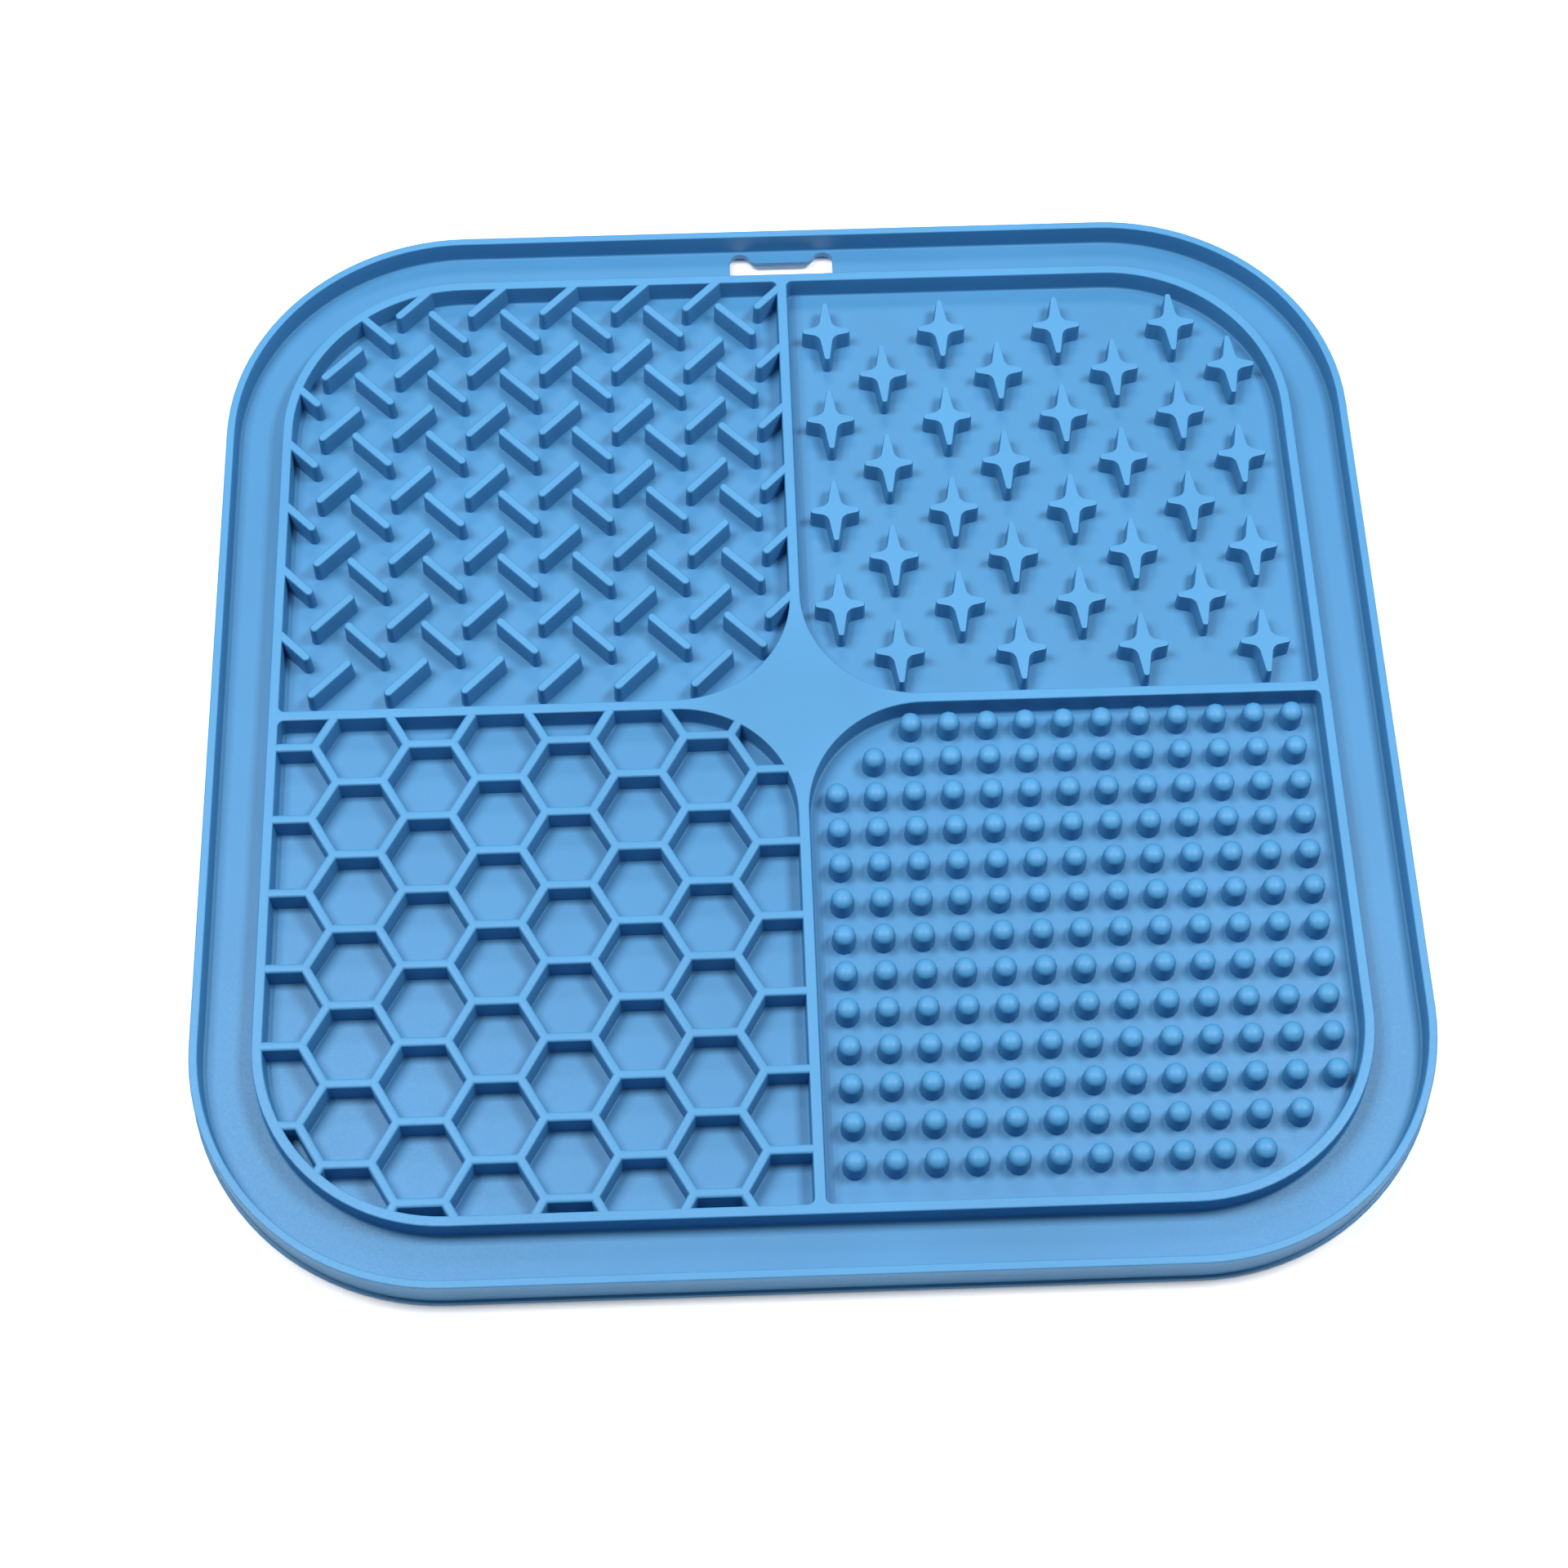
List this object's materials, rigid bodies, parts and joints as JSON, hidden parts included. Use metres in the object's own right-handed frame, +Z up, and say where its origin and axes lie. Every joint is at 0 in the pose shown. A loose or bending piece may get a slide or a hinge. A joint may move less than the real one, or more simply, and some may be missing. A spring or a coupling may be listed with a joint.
{
  "type": "lick mat",
  "caption": "Square silicone lick mat with bar, star, honeycomb and pin textures in its quarters, a cross wall with a centre pad, and a spill gutter with a hanging slot.",
  "frame": {"origin": "middle of the flat foot, on the surface that the mat lies on", "axes": "+Z up through the mat, +Y towards the edge with the hanging slot, +X to the right of it"},
  "size_m": [0.2, 0.2, 0.0069],
  "materials": {
    "silicone": "moulded satin silicone, sky blue"
  },
  "bodies": {
    "root": {"mat": "silicone"}
  },
  "joints": []
}
